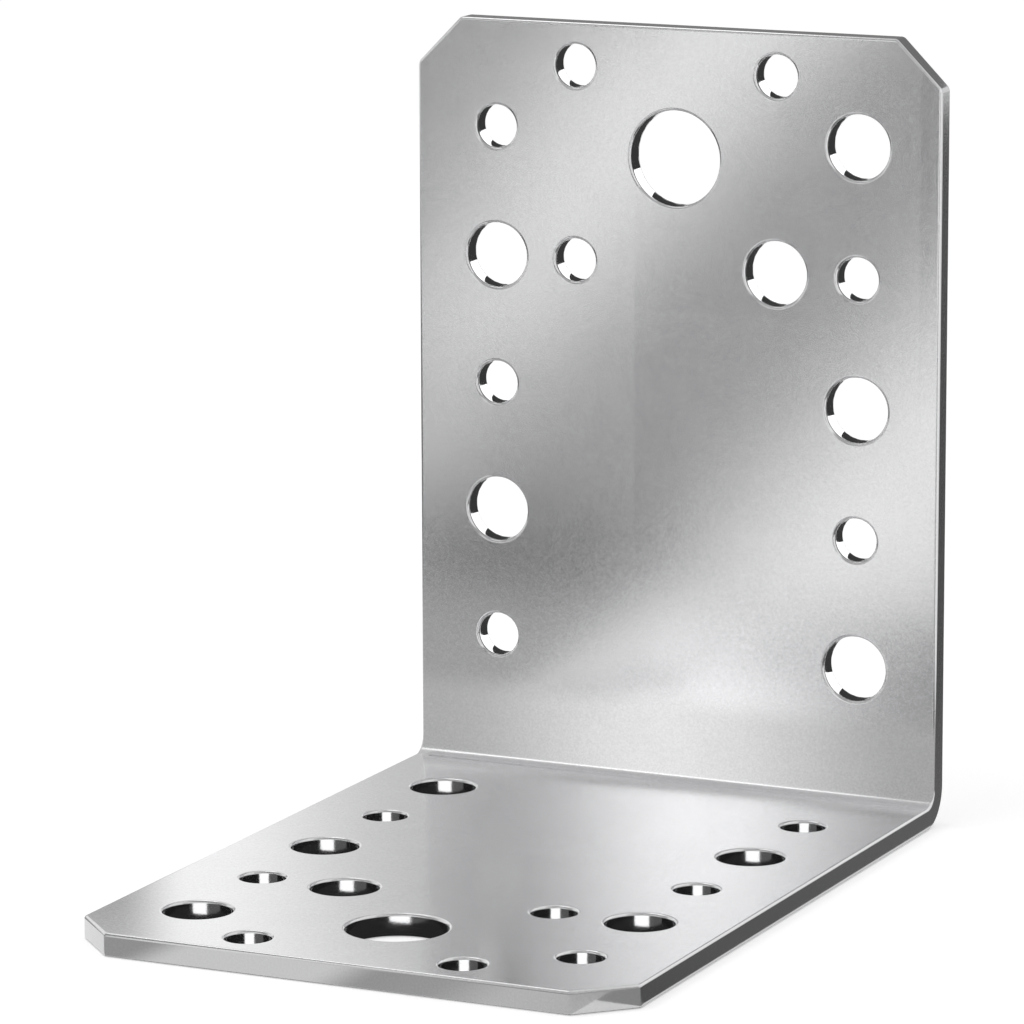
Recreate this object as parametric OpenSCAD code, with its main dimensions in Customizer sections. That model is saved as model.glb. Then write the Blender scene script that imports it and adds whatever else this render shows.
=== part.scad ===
// Perforated angle bracket: one strip of galvanised sheet steel, punched, clipped at its
// corners and folded once to a right angle. It joins timbers, posts and beams.
// It stands on its base leg. The fold runs along X at the back, where the upright leg rises.

/* [Sheet] */
// Thickness of the sheet
sheet_t = 2.5; // [1.5:0.1:4]
// Width of the strip, measured along the fold
strip_w = 65; // [60:0.5:100]
// Radius of the arrises, where the faces of the sheet meet its cut edges
arris_r = 0.3; // [0.1:0.05:0.6]

/* [Legs] */
// Length of the base leg, from the outside of the fold to its free end
base_length = 90; // [88:0.5:140]
// Height of the upright leg, from the outside of the fold to its free end
upright_length = 90; // [88:0.5:140]
// Length clipped off each free corner, measured along both of its edges
corner_clip = 5.5; // [3:0.5:7]
// Radius left at the two ends of each clipped edge
clip_r = 0.8; // [0.4:0.1:2]

/* [Fold] */
// Inside radius of the fold
fold_inner_r = 2; // [1:0.25:4]

/* [Holes] */
// Diameter of the nail holes
nail_d = 5; // [4:0.1:5.5]
// Diameter of the coach screw holes
screw_d = 7.5; // [6:0.1:8]
// Diameter of the bolt hole in each leg
bolt_d = 11; // [9:0.5:13]
// Width of the softened rim at both ends of each hole
rim = 0.2; // [0.1:0.05:0.4]

/* [Hole pattern] */
// Distance from the middle of the strip to its outer columns of holes
outer_column = 22.5; // [22:0.5:24]
// Distance from an outer column to the inner column beside it
column_gap = 10; // [9.5:0.5:11]
// Distance from the outside of the fold to the first row of holes
first_row = 17.5; // [14:0.5:18]
// Distance from one row of holes to the next
row_pitch = 15; // [13:0.5:15]
// Least distance from the free end to the last row; a longer leg gets more rows
row_margin = 12; // [10:0.5:12.5]
// Distance from the free end to the middle of the bolt hole
bolt_margin = 15; // [13:0.5:16]
// Distance from the free end to the last pair of nail holes
end_margin = 5; // [4.5:0.5:6]

/* [Hidden] */
$fn = 96;
zinc = [0.72, 0.73, 0.74];
// How far a cutting shape runs past what it cuts
past = 1;
// The row that has an inner pair of holes as well
wide_row = 4;
inner_column = outer_column - column_gap;
half_w = strip_w / 2;
fold_outer_r = fold_inner_r + sheet_t;
// The outside of the fold lies this far behind the middle of the base leg
heel_y = base_length / 2;

// Distance of a row of holes from the outside of the fold
function row_at(i) = first_row + (i - 1) * row_pitch;

// Number of rows in the outer columns of a leg
function row_count(length) = floor((length - row_margin - first_row) / row_pitch) + 1;

// Nail holes and screw holes take turns down each outer column
function turn_d(i, side) = (i % 2 == 0) == (side > 0) ? nail_d : screw_d;

// Every hole of a leg: its place across the strip, its distance from the fold and its diameter
function leg_holes(length) = concat(
    [for (side = [-1, 1], i = [1:row_count(length)]) [side * outer_column, row_at(i), turn_d(i, side)]],
    [for (side = [-1, 1]) [side * inner_column, row_at(wide_row), side > 0 ? screw_d : nail_d]],
    [for (side = [-1, 1]) [side * inner_column, length - end_margin, nail_d]],
    [[0, length - bolt_margin, bolt_d]]
);

// Rectangle about the origin with round corners
module round_rectangle(x, y, r) {
    square([x, y - 2 * r], center = true);
    square([x - 2 * r, y], center = true);
    for (i = [-1, 1], j = [-1, 1])
        translate([i * (x / 2 - r), j * (y / 2 - r)])
            circle(r);
}

// Cross-section of the strip, with its width along X
module strip_section() {
    round_rectangle(strip_w, sheet_t, arris_r);
}

// Slab as thick as the sheet, with a finished edge along the X axis and its body towards -Y
module edged_slab(width, depth) {
    translate([-width / 2, -depth / 2, 0])
        rotate([0, 90, 0])
            linear_extrude(width)
                round_rectangle(sheet_t, depth, arris_r);
}

// Plan of a leg with its clipped corners, measured along Y from the outside of the fold
module leg_plan(length) {
    // Distance from a corner of the clipped edge to where its arc starts
    trim = clip_r * tan(22.5);
    skew = trim * cos(45);
    clip_x = half_w - corner_clip;
    clip_y = length - corner_clip;
    polygon([
        [-half_w, fold_outer_r],
        [half_w, fold_outer_r],
        [half_w, clip_y - trim],
        [half_w - skew, clip_y + skew],
        [clip_x + skew, length - skew],
        [clip_x - trim, length],
        [-clip_x + trim, length],
        [-clip_x - skew, length - skew],
        [-half_w + skew, clip_y + skew],
        [-half_w, clip_y - trim]
    ]);
    for (side = [-1, 1]) {
        translate([side * (half_w - clip_r), clip_y - trim])
            circle(clip_r);
        translate([side * (clip_x - trim), length - clip_r])
            circle(clip_r);
    }
}

// Blank of a leg before it is punched, with the middle of its sheet on the XY plane
module leg_blank(length) {
    // Large enough to cover the leg from any side
    cover = strip_w + length;
    intersection() {
        translate([0, fold_outer_r, 0])
            rotate([-90, 0, 0])
                linear_extrude(length - fold_outer_r)
                    strip_section();
        linear_extrude(sheet_t + past, center = true)
            leg_plan(length);
        translate([0, length, 0])
            edged_slab(cover, cover);
        intersection_for(side = [-1, 1])
            translate([side * (half_w - corner_clip / 2), length - corner_clip / 2, 0])
                rotate(-45 * side)
                    edged_slab(cover, cover);
    }
}

// Cutter for one hole, with a soft rim at both faces of a sheet that lies about the XY plane
module hole(d) {
    cylinder(h = sheet_t + past, d = d, center = true);
    for (face = [0, 180])
        rotate([face, 0, 0])
            translate([0, 0, sheet_t / 2])
                cylinder(h = 2 * rim, r1 = d / 2, r2 = d / 2 + 2 * rim, center = true);
}

// One leg, flat, with the outside of the fold on the X axis
module leg(length) {
    difference() {
        leg_blank(length);
        for (h = leg_holes(length))
            translate([h[0], h[1], 0])
                hole(h[2]);
    }
}

// The quarter turn that joins the legs
module fold() {
    translate([0, heel_y - fold_outer_r, fold_outer_r])
        rotate([90, 0, 90])
            rotate(-90)
                rotate_extrude(angle = 90)
                    translate([fold_inner_r + sheet_t / 2, 0])
                        rotate(90)
                            strip_section();
}

// The punched pattern is turned half round from one leg to the other, as it lies on the flat strip
module bracket() {
    color(zinc) {
        translate([0, heel_y, sheet_t / 2])
            rotate(180)
                leg(base_length);
        fold();
        translate([0, heel_y - sheet_t / 2, 0])
            rotate([90, 0, 0])
                leg(upright_length);
    }
}

bracket();
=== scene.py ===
"""Looks of a perforated angle bracket: a strip of galvanised sheet steel, punched flat and then folded."""

from math import cos, pi, radians, sin, tan

import bpy
from mathutils import Matrix, Vector


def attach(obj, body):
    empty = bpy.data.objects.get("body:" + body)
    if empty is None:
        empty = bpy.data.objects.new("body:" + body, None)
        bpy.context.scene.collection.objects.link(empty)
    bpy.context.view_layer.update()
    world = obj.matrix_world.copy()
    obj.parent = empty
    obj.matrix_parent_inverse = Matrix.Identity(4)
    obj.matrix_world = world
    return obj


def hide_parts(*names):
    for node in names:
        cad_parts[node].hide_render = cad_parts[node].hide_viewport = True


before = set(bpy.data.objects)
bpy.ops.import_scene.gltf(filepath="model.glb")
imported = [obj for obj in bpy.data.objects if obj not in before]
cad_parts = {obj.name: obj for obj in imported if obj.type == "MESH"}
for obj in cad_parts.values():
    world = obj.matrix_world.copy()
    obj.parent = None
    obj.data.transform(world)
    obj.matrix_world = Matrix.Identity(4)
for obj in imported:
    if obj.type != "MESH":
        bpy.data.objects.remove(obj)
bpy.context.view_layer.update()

MM = 0.001

# The sheet and its fold, as in the part's source
SHEET = 2.5 * MM
WIDTH = 65 * MM
LEG = 90 * MM
FOLD_INNER = 2 * MM
CLIP = 5.5 * MM
CLIP_ROUND = 0.8 * MM
FOLD_OUTER = FOLD_INNER + SHEET
FOLD_MIDDLE = FOLD_INNER + SHEET / 2
HALF_FOLD = FOLD_MIDDLE * pi / 4
FREE_END = HALF_FOLD + LEG - FOLD_OUTER
HEEL = LEG / 2

# The punched pattern of one leg: radii, and distances from the strip's middle or the outside of the fold
NAIL_HOLE, SCREW_HOLE, BOLT_HOLE = 2.5 * MM, 3.75 * MM, 5.5 * MM
OUTER_COLUMN, INNER_COLUMN = 22.5 * MM, 12.5 * MM
FIRST_ROW, ROW_PITCH, ROWS, WIDE_ROW = 17.5 * MM, 15 * MM, 5, 4
BOLT_ROW, END_ROW = LEG - 15 * MM, LEG - 5 * MM

# Radii of the cut edges: rolled in on the face that the punch enters, sharper on the one it leaves
PUNCH_ROLL, BURR_ROLL = 0.35 * MM, 0.15 * MM
# The cut wall between them has a line of points this far inside each end, which keeps its shading flat
WALL_MARGIN = 0.04 * MM

# How many straight steps stand for each round stretch
CORNER_STEPS, HOLE_SIDES, ROLL_STEPS, FOLD_STEPS, CARD_ARC_STEPS = 5, 96, 6, 48, 24
# Points of the flat strip that lie closer together than this become one
WELD = 0.002 * MM

# Tones of the galvanised sheet and of bare cut steel, and how far the grain and the patches change them
ZINC_TONE, ZINC_GRAIN, ZINC_PATCHES, ZINC_BLUE = 0.74, 0.22, 0.05, 1.01
BARE_TONE, BARE_GRAIN = 0.55, 0.1
# Bare steel begins and is full at these shares of the way round a rolled edge, towards the cut wall
BARE_START, BARE_FULL = 0.45, 0.95
# Waves of the two patterns in a metre, and the fineness of both
GRAIN_SCALE, PATCH_SCALE, PATTERN_DETAIL = 4200, 160, 3
ROUGHNESS, ROUGHNESS_GRAIN, BARE_SMOOTHER = 0.18, 0.06, 0.07
GRAIN_BUMP, GRAIN_DEPTH = 0.2, 0.01 * MM

# The world and the floor light the part plainly and are white to look at
WHITE = (1, 1, 1)
WORLD_LIGHT = 0.5
FLOOR_TONE, FLOOR_GLOW = (0.85, 0.85, 0.85), 0.5
FLOOR_HALF, FLOOR_LEVEL = 5, -0.1 * MM

# The camera, as found from the corners and holes of the bracket in the photograph
CAMERA_PLACE = Vector((274.3, -582.1, 170.8)) * MM
CAMERA_YAW, CAMERA_PITCH, CAMERA_ROLL = radians(25.277), radians(11.342), radians(-0.191)
LENS, SENSOR = 212.2, 36
NEAREST, FARTHEST = 0.01, 50

# The cards that paint light and shade into the sheet's reflections are placed in millimetres, some of them
# by these sides and faces of the bracket
SIDE, BACK, FRONT, TOP = WIDTH / 2 / MM, HEEL / MM, (HEEL - SHEET) / MM, SHEET / MM
# A card that would touch a face or another card keeps off it by one or a few of these
HAIR = 0.05
# Left end, right end and distance of the tall card before the bracket, and its top
TALL_CARD, TALL_TOP = (-220, 120, -60), 120
# Left, right, near and far end of the ceiling, and its height
CEILING, CEILING_LEVEL = (-600, 200, -400, 300), 300
# Directions in which the light of a card changes
ACROSS, ALONG, UPWARDS, SLANTING = (1, 0, 0), (0, 1, 0), (0, 0, 1), (0.731, 0, -0.682)


class Value:
    """An output socket. Arithmetic on it adds the Math nodes that work it out."""

    def __init__(self, nodes, socket):
        self.nodes, self.socket = nodes, socket

    def output(self, name):
        """Another output of the same node."""
        return Value(self.nodes, self.socket.node.outputs[name])

    def math(self, operation, *others):
        inputs = dict(enumerate((self, *others)))
        return self.nodes.add("ShaderNodeMath", {"operation": operation}, inputs)

    def __add__(self, other):
        return self.math("ADD", other)

    def __sub__(self, other):
        return self.math("SUBTRACT", other)

    def __mul__(self, other):
        return self.math("MULTIPLY", other)

    def __truediv__(self, other):
        return self.math("DIVIDE", other)

    def __gt__(self, other):
        return self.math("GREATER_THAN", other)

    def __lt__(self, other):
        return self.math("LESS_THAN", other)

    def __neg__(self):
        return self * -1

    def __rsub__(self, other):
        return -self + other

    __radd__, __rmul__ = __add__, __mul__

    def between(self, low, high):
        """0 up to low, 1 from high on, and a smooth step from one to the other."""
        sizes = {"Value": self, "From Min": low, "From Max": high}
        return self.nodes.add("ShaderNodeMapRange", {"interpolation_type": "SMOOTHSTEP"}, sizes)


class Nodes:
    """A node tree, written as one call for each node."""

    def __init__(self, tree):
        self.tree = tree

    def add(self, kind, settings=None, inputs=None):
        """Adds a node: its settings first, then the values or links of its inputs. Gives its output."""
        node = self.tree.nodes.new(kind)
        for name, value in (settings or {}).items():
            setattr(node, name, value)
        for name, value in (inputs or {}).items():
            for item in value if isinstance(value, list) else [value]:
                self.feed(self.pick(node.inputs, name), item)
        return Value(self, self.pick(node.outputs)) if node.outputs else None

    @staticmethod
    def pick(sockets, name=None):
        """A socket by its number or its name, or else the first one that is in use."""
        if isinstance(name, int):
            return sockets[name]
        return next(s for s in sockets if s.enabled and name in (None, s.name))

    def feed(self, socket, value):
        if isinstance(value, Value):
            self.tree.links.new(value.socket, socket)
        elif socket.type == "RGBA":
            socket.default_value = (*value, 1)
        else:
            socket.default_value = value

    def vector(self, x=0, y=0, z=0):
        return self.add("ShaderNodeCombineXYZ", {}, {"X": x, "Y": y, "Z": z})

    def parts(self, vector):
        split = self.add("ShaderNodeSeparateXYZ", {}, {"Vector": vector})
        return [split.output(axis) for axis in "XYZ"]

    def vector_math(self, operation, *values, **named):
        inputs = {**dict(enumerate(values)), **named}
        return self.add("ShaderNodeVectorMath", {"operation": operation}, inputs)

    def attribute(self, name):
        return self.add("GeometryNodeInputNamedAttribute", {"data_type": "FLOAT"}, {"Name": name})

    def store(self, geometry, name, value):
        inputs = {"Geometry": geometry, "Name": name, "Value": value}
        return self.add("GeometryNodeStoreNamedAttribute", {"data_type": "FLOAT"}, inputs)

    def join(self, *geometries):
        return self.add("GeometryNodeJoinGeometry", {}, {"Geometry": list(geometries)})

    def move(self, geometry, **places):
        return self.add("GeometryNodeSetPosition", {}, {"Geometry": geometry, **places})


# The flat strip: X across it, Y along it from the middle of the fold, Z up from the middle of the sheet.
# Its upper face becomes the inside of the angle.


def clipped_corner(side):
    """Points round a clipped corner at the free end, from the long edge to the end."""
    trim = CLIP_ROUND * tan(pi / 8)
    arcs = (
        (WIDTH / 2 - CLIP_ROUND, FREE_END - CLIP - trim, 0),
        (WIDTH / 2 - CLIP - trim, FREE_END - CLIP_ROUND, pi / 4),
    )
    points = []
    for x, y, start in arcs:
        for step in range(CORNER_STEPS + 1):
            angle = start + pi / 4 * step / CORNER_STEPS
            points.append((side * (x + CLIP_ROUND * cos(angle)), y + CLIP_ROUND * sin(angle), 0))
    return points[::side]


def row_at(number):
    return FIRST_ROW + (number - 1) * ROW_PITCH


def leg_holes():
    """Each hole of the leg that will stand up: its place across the strip, its row and its radius."""
    holes = [(0, BOLT_ROW, BOLT_HOLE)]
    for side in (-1, 1):
        for number in range(1, ROWS + 1):
            nail = (number % 2 == 0) == (side > 0)
            holes.append((side * OUTER_COLUMN, row_at(number), NAIL_HOLE if nail else SCREW_HOLE))
        holes.append((side * INNER_COLUMN, row_at(WIDE_ROW), SCREW_HOLE if side > 0 else NAIL_HOLE))
        holes.append((side * INNER_COLUMN, END_ROW, NAIL_HOLE))
    return holes


def leg_layout():
    """A leg as it is marked out: the line of its cut edge, and a point with a radius for each hole."""
    line = [(WIDTH / 2, HALF_FOLD, 0), *clipped_corner(1), *clipped_corner(-1), (-WIDTH / 2, HALF_FOLD, 0)]
    middles = [(across, row - FOLD_OUTER + HALF_FOLD, 0) for across, row, radius in leg_holes()]
    mesh = bpy.data.meshes.new("leg_layout")
    mesh.from_pydata(line + middles, [(i, i + 1) for i in range(len(line) - 1)], [])
    radii = [0] * len(line) + [radius for across, row, radius in leg_holes()]
    mesh.attributes.new("hole_radius", "FLOAT", "POINT").data.foreach_set("value", radii)
    return mesh


def edge_profile(nodes, size):
    """Section through a cut edge, from the upper face to the underside: a roll, the cut wall and a smaller
    roll. X is how far a point lies outside the line that is cut, Y how far below the middle of the sheet.
    Each half has the points of its roll, from 0 to its number of steps, and one point inside the wall."""
    steps = size["Roll steps"]
    number = nodes.add("GeometryNodeInputIndex")
    lower = number > steps + 1
    step = number.math("MINIMUM", steps * 2 + 3 - number)
    in_wall = step > steps
    part = (step - in_wall) / steps
    turn = part * (pi / 2)
    roll = size["Punch roll"] + (size["Burr roll"] - size["Punch roll"]) * lower
    inwards = roll * (turn.math("SINE") - 1)
    depth = size["Thickness"] / 2 - roll * (1 - turn.math("COSINE")) - in_wall * WALL_MARGIN
    depth = depth * (lower * 2 - 1)
    line = nodes.add("GeometryNodeMeshLine", {}, {"Count": steps * 2 + 4})
    line = nodes.store(line, "cut", part)
    line = nodes.add("GeometryNodeMeshToCurve", {}, {"Mesh": line})
    return nodes.move(line, Position=nodes.vector(inwards, depth, 0))


def shade(nodes, mesh, smooth):
    return nodes.add("GeometryNodeSetShadeSmooth", {}, {"Geometry": mesh, "Shade Smooth": smooth})


def level_normals(nodes, line):
    """Gives a line on the strip normals that lie in the strip's own plane."""
    return nodes.add("GeometryNodeSetCurveNormal", {"mode": "Z_UP"}, {"Curve": line})


def sweep(nodes, line, profile):
    line = level_normals(nodes, line)
    swept = nodes.add("GeometryNodeCurveToMesh", {}, {"Curve": line, "Profile Curve": profile})
    return shade(nodes, swept, True)


def two_faces(size):
    """The upper face and the underside of the sheet, each with the roll of its cut edges."""
    return (1, size["Punch roll"]), (-1, size["Burr roll"])


def lift(nodes, plate, face, size):
    """Moves a flat face to the top or the underside of the sheet, and turns it to face outwards."""
    plate = nodes.move(plate, Offset=nodes.vector(0, 0, size["Thickness"] / 2 * face))
    return plate if face > 0 else nodes.add("GeometryNodeFlipFaces", {}, {"Mesh": plate})


def punched_leg(nodes, layout, profile, size):
    """The flat leg: rolled edges along its outline and in its holes, and the two faces between them."""
    radius = nodes.attribute("hole_radius")
    marks = nodes.add("GeometryNodeSeparateGeometry", {}, {"Geometry": layout, "Selection": radius > 0})
    outline = nodes.add("GeometryNodeMeshToCurve", {}, {"Mesh": marks.output("Inverted")})
    circle = {"Resolution": size["Hole sides"], "Radius": 1}
    circle = nodes.add("GeometryNodeCurvePrimitiveCircle", {}, circle)
    circle = nodes.add("GeometryNodeReverseCurve", {}, {"Curve": circle})
    holes = {"Points": marks, "Instance": circle, "Scale": nodes.vector(radius, radius, radius)}
    holes = nodes.add("GeometryNodeInstanceOnPoints", {}, holes)
    holes = nodes.add("GeometryNodeRealizeInstances", {}, {"Geometry": holes})
    lines = nodes.join(outline, holes)
    pieces = [sweep(nodes, lines, profile)]
    for face, roll in two_faces(size):
        outwards = nodes.add("GeometryNodeInputNormal")
        inwards = nodes.vector_math("SCALE", outwards, Scale=-roll)
        border = nodes.move(level_normals(nodes, lines), Offset=inwards)
        border = nodes.add("GeometryNodeSetSplineCyclic", {}, {"Geometry": border, "Cyclic": True})
        plate = nodes.add("GeometryNodeFillCurve", {}, {"Curve": border})
        pieces.append(shade(nodes, lift(nodes, plate, face, size), False))
    return nodes.join(*pieces)


def fold_zone(nodes, profile, size):
    """The stretch of flat sheet that the fold will take up: one rolled edge, and both faces."""
    half_width, half_length = size["Width"] / 2, size["Half fold"]
    start = nodes.vector(half_width, -half_length, 0)
    end = nodes.vector(half_width, half_length, 0)
    line = nodes.add("GeometryNodeCurvePrimitiveLine", {}, {"Start": start, "End": end})
    rows = size["Fold steps"] + 1
    line = nodes.add("GeometryNodeResampleCurve", {}, {"Curve": line, "Count": rows})
    faces = []
    for face, roll in two_faces(size):
        span = {"Size X": size["Width"] - roll * 2, "Size Y": half_length * 2}
        plate = nodes.add("GeometryNodeMeshGrid", {}, {**span, "Vertices X": 2, "Vertices Y": rows})
        faces.append(shade(nodes, lift(nodes, plate, face, size), True))
    return sweep(nodes, line, profile), nodes.join(*faces)


def bend(nodes, sheet, size):
    """Folds the flat sheet about the X axis: the middle of its thickness keeps its length."""
    x, y, z = nodes.parts(nodes.add("GeometryNodeInputPosition"))
    in_fold = y.math("MINIMUM", size["Half fold"]).math("MAXIMUM", -size["Half fold"])
    past = y - in_fold
    middle = size["Inner radius"] + size["Thickness"] / 2
    outside = size["Inner radius"] + size["Thickness"]
    radius = middle - z
    angle = in_fold / middle - pi / 4
    along, upwards = angle.math("COSINE"), angle.math("SINE")
    folded = nodes.vector(
        x,
        size["Heel"] - outside + radius * along - past * upwards,
        outside + radius * upwards + past * along,
    )
    return nodes.move(sheet, Position=folded)


def bracket_tree(zinc):
    """Geometry Nodes that punch and fold the bracket from the layout of one leg."""
    tree = bpy.data.node_groups.new("punched_and_folded_strip", "GeometryNodeTree")
    lengths = ("Thickness", "Width", "Inner radius", "Half fold", "Heel", "Punch roll", "Burr roll")
    counts = ("Hole sides", "Roll steps", "Fold steps")
    inputs = {"Layout": "Geometry", **dict.fromkeys(lengths, "Float"), **dict.fromkeys(counts, "Int")}
    for name, kind in inputs.items():
        tree.interface.new_socket(name, in_out="INPUT", socket_type=f"NodeSocket{kind}")
    tree.interface.new_socket("Bracket", in_out="OUTPUT", socket_type="NodeSocketGeometry")
    nodes = Nodes(tree)
    given = nodes.add("NodeGroupInput")
    size = {name: given.output(name) for name in inputs}

    profile = edge_profile(nodes, size)
    leg = punched_leg(nodes, size["Layout"], profile, size)
    fold_edge, fold_faces = fold_zone(nodes, profile, size)
    half = nodes.join(leg, fold_edge)
    other_half = nodes.add("GeometryNodeTransform", {}, {"Geometry": half, "Rotation": (0, 0, pi)})
    sheet = nodes.join(half, other_half, fold_faces)
    sheet = nodes.add("GeometryNodeMergeByDistance", {}, {"Geometry": sheet, "Distance": WELD})
    sheet = bend(nodes, sheet, size)
    sheet = nodes.add("GeometryNodeRealizeInstances", {}, {"Geometry": sheet})
    sheet = nodes.add("GeometryNodeSetMaterial", {}, {"Geometry": sheet, "Material": zinc})
    nodes.add("NodeGroupOutput", {}, {"Bracket": sheet})
    return tree


def make_bracket(zinc):
    """The finished sheet as a plain mesh: smooth round its edges and in the fold, flat elsewhere."""
    maker = bpy.data.objects.new("bracket_maker", leg_layout())
    bpy.context.scene.collection.objects.link(maker)
    modifier = maker.modifiers.new("strip", "NODES")
    modifier.node_group = bracket_tree(zinc)
    sizes = {
        "Thickness": SHEET,
        "Width": WIDTH,
        "Inner radius": FOLD_INNER,
        "Half fold": HALF_FOLD,
        "Heel": HEEL,
        "Punch roll": PUNCH_ROLL,
        "Burr roll": BURR_ROLL,
        "Hole sides": HOLE_SIDES,
        "Roll steps": ROLL_STEPS,
        "Fold steps": FOLD_STEPS,
    }
    for item in modifier.node_group.interface.items_tree:
        if item.name in sizes:
            modifier[item.identifier] = sizes[item.name]
    made = maker.evaluated_get(bpy.context.evaluated_depsgraph_get())
    mesh = bpy.data.meshes.new_from_object(made)
    bpy.data.objects.remove(maker)
    bracket = bpy.data.objects.new("bracket_sheet", mesh)
    bpy.context.scene.collection.objects.link(bracket)
    return bracket


def new_material(name):
    material = bpy.data.materials.new(name)
    material.use_nodes = True
    material.node_tree.nodes.clear()
    return material, Nodes(material.node_tree)


def pattern(nodes, place, scale):
    """Noise about 0, so that it makes a tone both lighter and darker."""
    inputs = {"Vector": place, "Scale": scale, "Detail": PATTERN_DETAIL}
    return nodes.add("ShaderNodeTexNoise", {}, inputs) - 0.5


def zinc_steel():
    """Bright galvanised sheet with a fine grain, and darker and smoother bare steel where it is cut."""
    material, nodes = new_material("zinc_steel")
    place = nodes.add("ShaderNodeTexCoord").output("Object")
    cut = nodes.add("ShaderNodeAttribute", {"attribute_name": "cut"}).output("Fac")
    bare = cut.between(BARE_START, BARE_FULL)
    grain = pattern(nodes, place, GRAIN_SCALE)
    patches = pattern(nodes, place, PATCH_SCALE)
    zinc_level = ZINC_TONE + grain * ZINC_GRAIN + patches * ZINC_PATCHES
    bare_level = BARE_TONE + grain * BARE_GRAIN
    level = zinc_level * (1 - bare) + bare_level * bare
    color = {"Red": level, "Green": level, "Blue": level * ZINC_BLUE}
    color = nodes.add("ShaderNodeCombineColor", {}, color)
    roughness = ROUGHNESS + grain * ROUGHNESS_GRAIN - bare * BARE_SMOOTHER
    bump = {"Height": grain, "Strength": GRAIN_BUMP, "Distance": GRAIN_DEPTH}
    bump = nodes.add("ShaderNodeBump", {}, bump)
    steel = {"Base Color": color, "Metallic": 1, "Roughness": roughness, "Normal": bump}
    steel = nodes.add("ShaderNodeBsdfPrincipled", {}, steel)
    nodes.add("ShaderNodeOutputMaterial", {}, {"Surface": steel})
    return material


def looked_at(nodes):
    """1 for a ray of the camera, of a reflection or through glass, and 0 for one that gathers light."""
    path = nodes.add("ShaderNodeLightPath")
    reflected, through = path.output("Is Glossy Ray"), path.output("Is Transmission Ray")
    return path.output("Is Camera Ray").math("MAXIMUM", reflected).math("MAXIMUM", through)


def pale_floor():
    """White floor. It also glows a little where it is looked at, so that it looks white and still keeps
    the bracket's shadow."""
    material, nodes = new_material("pale_floor")
    matt = nodes.add("ShaderNodeBsdfDiffuse", {}, {"Color": FLOOR_TONE})
    glow = nodes.add("ShaderNodeEmission", {}, {"Color": WHITE, "Strength": looked_at(nodes) * FLOOR_GLOW})
    both = nodes.add("ShaderNodeAddShader", {}, {0: matt, 1: glow})
    nodes.add("ShaderNodeOutputMaterial", {}, {"Surface": both})
    material.cycles.emission_sampling = "NONE"
    return material


def make_floor():
    mesh = bpy.data.meshes.new("floor")
    corners = level_card(-FLOOR_HALF, FLOOR_HALF, -FLOOR_HALF, FLOOR_HALF, FLOOR_LEVEL)
    mesh.from_pydata(corners, [], [(0, 1, 2, 3)])
    mesh.materials.append(pale_floor())
    floor = bpy.data.objects.new("floor", mesh)
    bpy.context.scene.collection.objects.link(floor)


def make_world():
    """Plain white to look at, and half as bright in the light that it gives."""
    world = bpy.data.worlds.new("studio")
    world.use_nodes = True
    world.node_tree.nodes.clear()
    nodes = Nodes(world.node_tree)
    strength = WORLD_LIGHT + looked_at(nodes) * (1 - WORLD_LIGHT)
    background = nodes.add("ShaderNodeBackground", {}, {"Color": WHITE, "Strength": strength})
    nodes.add("ShaderNodeOutputWorld", {}, {"Surface": background})
    world.cycles.sampling_method = "NONE"
    bpy.context.scene.world = world


def area_light(name, place, aim, size, power):
    """A round soft lamp that reflections don't show, because they show the cards."""
    data = bpy.data.lights.new(name, "AREA")
    data.shape, data.size, data.energy = "DISK", size, power
    light = bpy.data.objects.new(name, data)
    light.location = place
    light.rotation_euler = (Vector(aim) - Vector(place)).to_track_quat("-Z", "Y").to_euler()
    light.visible_glossy = False
    bpy.context.scene.collection.objects.link(light)


def make_lights():
    area_light("key", place=(-0.5, -0.3, 1.5), aim=(0, 0, 0.04), size=1.2, power=5)


def card(name, faces, glow, bounces=(1,), cover=None, both_sides=True):
    """A glowing card that paints light and shade into the sheet's reflections. It lights nothing and is
    seen only in the sheet, after one reflection or after the two that the corner of the angle makes. Glow
    and cover, how far it hides what is behind it, may change over it."""
    material, nodes = new_material(name)
    place = nodes.add("ShaderNodeTexCoord").output("Object")
    reflections = nodes.add("ShaderNodeLightPath").output("Glossy Depth")
    seen = 0
    for bounce in bounces:
        seen = seen + ((reflections - bounce).math("ABSOLUTE") < 0.5)
    if cover:
        seen = seen * cover(nodes, place)
    if not both_sides:
        seen = seen * (1 - nodes.add("ShaderNodeNewGeometry").output("Backfacing"))
    light = nodes.add("ShaderNodeEmission", {}, {"Color": WHITE, "Strength": glow(nodes, place)})
    clear = nodes.add("ShaderNodeBsdfTransparent")
    mix = nodes.add("ShaderNodeMixShader", {}, {"Fac": seen, 1: clear, 2: light})
    nodes.add("ShaderNodeOutputMaterial", {}, {"Surface": mix})
    material.cycles.emission_sampling = "NONE"
    corners = [Vector(corner) * MM for face in faces for corner in face]
    starts = [sum(len(face) for face in faces[:i]) for i in range(len(faces))]
    mesh = bpy.data.meshes.new(name)
    mesh.from_pydata(corners, [], [range(start, start + len(face)) for start, face in zip(starts, faces)])
    mesh.materials.append(material)
    made = bpy.data.objects.new(name, mesh)
    made.visible_camera = made.visible_diffuse = made.visible_shadow = False
    bpy.context.scene.collection.objects.link(made)


def strips(direction, *stops):
    """Value that goes through the stops, (distance in mm, value), along the direction."""
    def value(nodes, place):
        distance = nodes.vector_math("DOT_PRODUCT", place, Vector(direction).normalized() / MM)
        distance = distance.output("Value")
        level = stops[0][1]
        for (start, low), (end, high) in zip(stops, stops[1:]):
            level = level + distance.between(start, end) * (high - low)
        return level
    return value


def even(strength):
    """The same value all over a card."""
    return lambda nodes, place: strength


def product(*values):
    """Several values, one times the other."""
    def value(nodes, place):
        level = 1
        for part in values:
            level = level * part(nodes, place)
        return level
    return value


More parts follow.
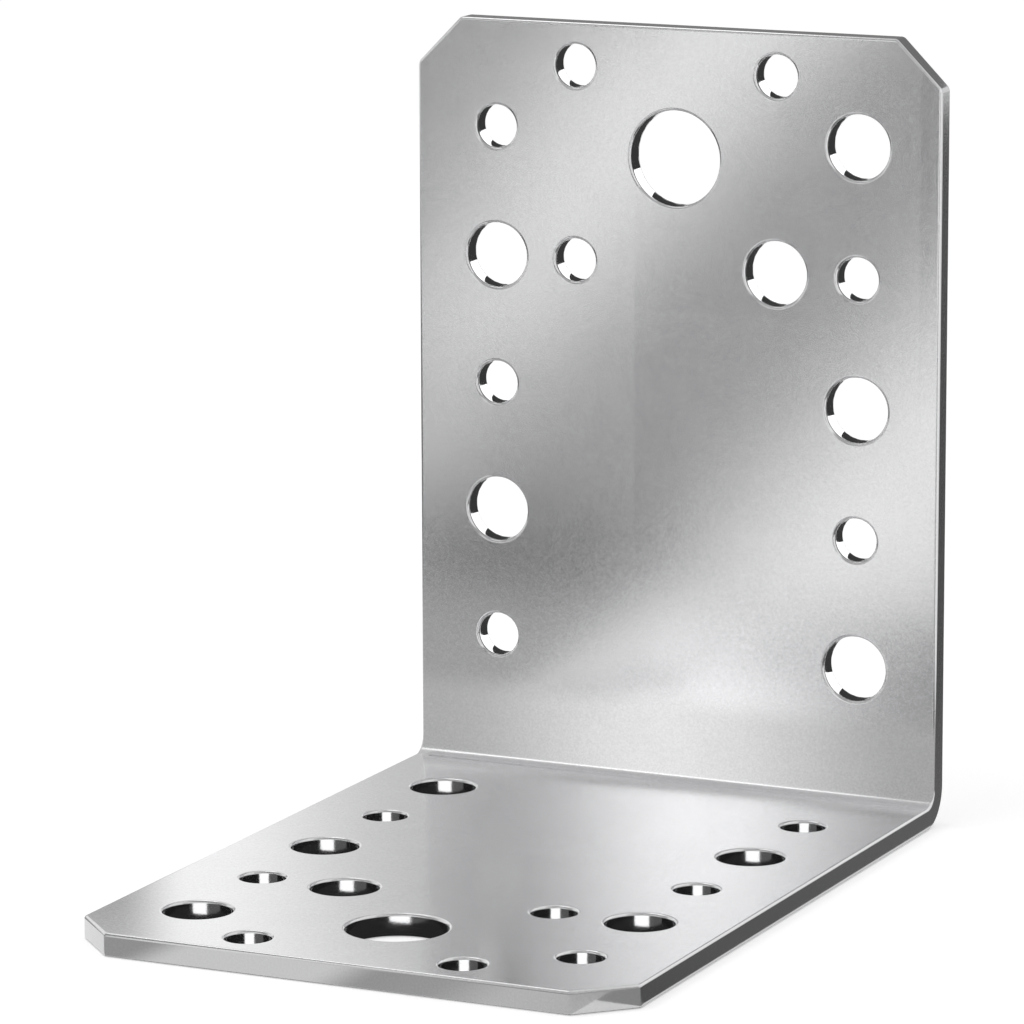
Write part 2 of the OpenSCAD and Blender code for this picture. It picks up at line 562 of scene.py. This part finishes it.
def upright_card(x0, x1, y, z0, z1):
    """A card that stands along X and faces the front."""
    return [(x0, y, z0), (x1, y, z0), (x1, y, z1), (x0, y, z1)]


def arc_card(x, y, z, radius, start, end):
    """Points of an arc that stands along X and faces the front, from start to end in degrees."""
    angles = [radians(start + (end - start) * i / CARD_ARC_STEPS) for i in range(CARD_ARC_STEPS + 1)]
    return [(x + radius * cos(angle), y, z + radius * sin(angle)) for angle in angles]


def level_card(x0, x1, y0, y1, z):
    return [(x0, y0, z), (x1, y0, z), (x1, y1, z), (x0, y1, z)]


def face_cards():
    """Seen in the two faces of the angle."""
    # The slanting bands: light and dark strips before the bracket, weaker at the far left
    bands = [(-135, 0.8), (-106, 0.03), (-79.5, 1.25), (-58, 0.03), (-46, 0.03), (-22, 1.2), (12, 0.35)]
    from_left = strips(ACROSS, (-95, 0.6), (-45, 1))
    from_foot = strips(UPWARDS, (0, 0.97), (50, 0.93))
    glow = product(strips(SLANTING, *bands), from_left, from_foot)
    card("slanting_strips", [upright_card(*TALL_CARD, 0, TALL_TOP)], glow)
    # What each face shows of such strips by way of the other
    bands = [(-102, 1.35), (-70, 0.5), (-42, 1.85), (-8, 0.45), (30, 1.2)]
    from_foot = strips(UPWARDS, (10, 0.88), (28, 1), (42, 1), (60, 0.75))
    glow = product(strips(ACROSS, *bands), from_foot)
    card("corner_strips", [upright_card(*TALL_CARD, 4, TALL_TOP)], glow, bounces=(2,))
    # On the floor to the left, for the upright's lower left, and upright behind it, for the base's left
    near, far = -110, FRONT - 2 * HAIR
    outline = [(-SIDE - 10 * HAIR, far), (-130, far), (-130, near), (-60, near), (-46, -50)]
    glow = strips(ACROSS, (-130, 0.5), (-40, 0.45), (-36, 0.1))
    card("left_floor", [[(x, y, HAIR) for x, y in outline]], glow)
    glow = strips(ACROSS, (-76, 0.4), (-66, 1.14), (-33, 0.65))
    card("left_back", [upright_card(-250, -SIDE - 2 * HAIR, BACK + 4 * HAIR, 0, 36)], glow)


def fold_cards():
    """Seen in the fold: a plain ceiling, and below it what the foot of the upright shows as well."""
    card("ceiling", [level_card(*CEILING, CEILING_LEVEL)], strips(ALONG, (-40, 0.45), (0, 0.8)))
    glow = strips(ALONG, (-40, 0.45), (0, 1.9))
    card("fold_light", [level_card(-210, -60, -30, 90, CEILING_LEVEL - 1)], glow)
    card("ceiling_again", [level_card(*CEILING, CEILING_LEVEL + 1)], even(0.75), bounces=(2,))
    # Painted reflection: hides the upright from the fold, and fades out upwards
    glow = strips(ACROSS, (-32, 0.55), (-2, 1.05), (32, 0.5))
    foot_top = 13
    cover = strips(UPWARDS, (9, 1), (foot_top, 0))
    foot = upright_card(-40, 40, FRONT - 1.6, TOP + HAIR, foot_top)
    card("fold_card", [foot[::-1]], glow, cover=cover, both_sides=False)
    # Painted reflection: hides the upright's lowest left hole from the base, which would show it as a dark
    # spot
    disc = arc_card(-OUTER_COLUMN / MM, FRONT - 3 * HAIR, FIRST_ROW / MM, 3, 0, 360)
    card("hole_cover", [disc], even(0.53), both_sides=False)


def edge_cards():
    """Seen in the cut edges, with darkness round about."""
    # Darkness on the floor along the right side, which widens away from the camera
    outline = [(33, -45), (90, -45), (90, 40), (410, 800), (250, 800), (33, 50)]
    glow = strips(ALONG, (-40, 0.4), (-37, 0.13), (-10, 0.15), (40, 0.17), (130, 0.11))
    card("right_floor", [[(x, y, HAIR) for x, y in outline]], glow)
    # Light and shade before the free end of the base
    left = [(-45, 1.2), (-31, 0.5), (-26, 0.5), (-20, 1)]
    right = [(-4, 1), (3, 0.52), (9, 0.55), (19, 0.8), (45, 0.6)]
    card("front_floor", [level_card(-45, 70, -75, -BACK - HAIR, HAIR)], strips(ACROSS, *left, *right))
    # Darkness far to the left, and behind the upright's top
    card("left_far", [level_card(-700, -130, -200, 150, HAIR)], even(0.08))
    card("top_back", [upright_card(-70, 40, 60, 90.5, 110)], even(0.25), both_sides=False)


def hole_cards():
    """Painted reflections in the walls of the holes. In the base: painted shade below, and a painted
    highlight bar across
    each hole. In the upright: painted shade right behind the sheet, and a painted glint spot at the lower
    left."""
    clip = CLIP / MM
    corners = [(-SIDE, clip - BACK), (clip - SIDE, -BACK), (SIDE - clip, -BACK), (SIDE, clip - BACK)]
    footprint = [(-SIDE, BACK), *corners, (SIDE, BACK)]
    # Painted shade: a dark card under the bracket's footprint, seen only in reflection, for the shade
    # beneath it
    card("under", [[(x, y, -HAIR) for x, y in footprint]], even(0.03), bounces=(1, 2, 3))
    # Shares of a hole's radius: the ends of the painted highlight bar, the tip of the painted glint spot,
    # and the painted shade disc that fills the hole
    bar_left, bar_right = -0.26, 0.19
    tip_x, tip_z, fill = -0.2, -0.12, 0.99
    # The painted glint's arc along the rim, in degrees
    spot_start, spot_end = 197, 231
    back_y, spot_y = BACK - 2 * HAIR, BACK - 3 * HAIR
    painted_highlight_bars, shades, painted_glint_spots, painted_shade_discs = [], [], [], []
    for across, row, radius in leg_holes():
        x, z, r = across / MM, row / MM, radius / MM
        # The base's holes are the same pattern, turned half round
        base_x, base_y = -x, BACK - z
        bar = upright_card(base_x + bar_left * r, base_x + bar_right * r, base_y, 0, TOP - HAIR)
        painted_highlight_bars.append(bar[::-1])
        dark_side = upright_card(base_x - r, base_x + bar_left * r, base_y, 0, TOP - HAIR)
        shades.append(dark_side[::-1])
        painted_shade_discs.append(arc_card(x, back_y, z, r * fill, 0, 360))
        arc = arc_card(x, spot_y, z, r * fill, spot_start, spot_end)
        painted_glint_spots.append([*arc, (x + tip_x * r, spot_y, z + tip_z * r)])
    # Painted highlights: a bright bar in each hole of the base, seen only in reflection
    card("painted_highlight_bars", painted_highlight_bars, even(1.9), both_sides=False)
    # Painted shade: the dark side of each hole of the base
    card("shades", shades, even(0.15), both_sides=False)
    # Painted glints: a bright spot at the lower left of each hole of the upright, seen only in reflection
    card("painted_glint_spots", painted_glint_spots, even(2.2), both_sides=False)
    # Painted shade: a dark disc right behind each hole of the upright
    card("painted_shade_discs", painted_shade_discs, even(0.06), both_sides=False)


def make_camera():
    data = bpy.data.cameras.new("camera")
    data.lens, data.sensor_width = LENS, SENSOR
    data.clip_start, data.clip_end = NEAREST, FARTHEST
    camera = bpy.data.objects.new("camera", data)
    turn = (
        Matrix.Rotation(CAMERA_YAW, 3, "Z")
        @ Matrix.Rotation(pi / 2 - CAMERA_PITCH, 3, "X")
        @ Matrix.Rotation(CAMERA_ROLL, 3, "Z")
    )
    camera.location, camera.rotation_euler = CAMERA_PLACE, turn.to_euler()
    bpy.context.scene.collection.objects.link(camera)
    bpy.context.scene.camera = camera


make_camera()
make_world()
make_lights()
face_cards()
fold_cards()
edge_cards()
hole_cards()
make_floor()
bracket = make_bracket(zinc_steel())
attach(bracket, "root")
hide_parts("bracket")
bpy.context.scene.view_settings.view_transform = "Standard"
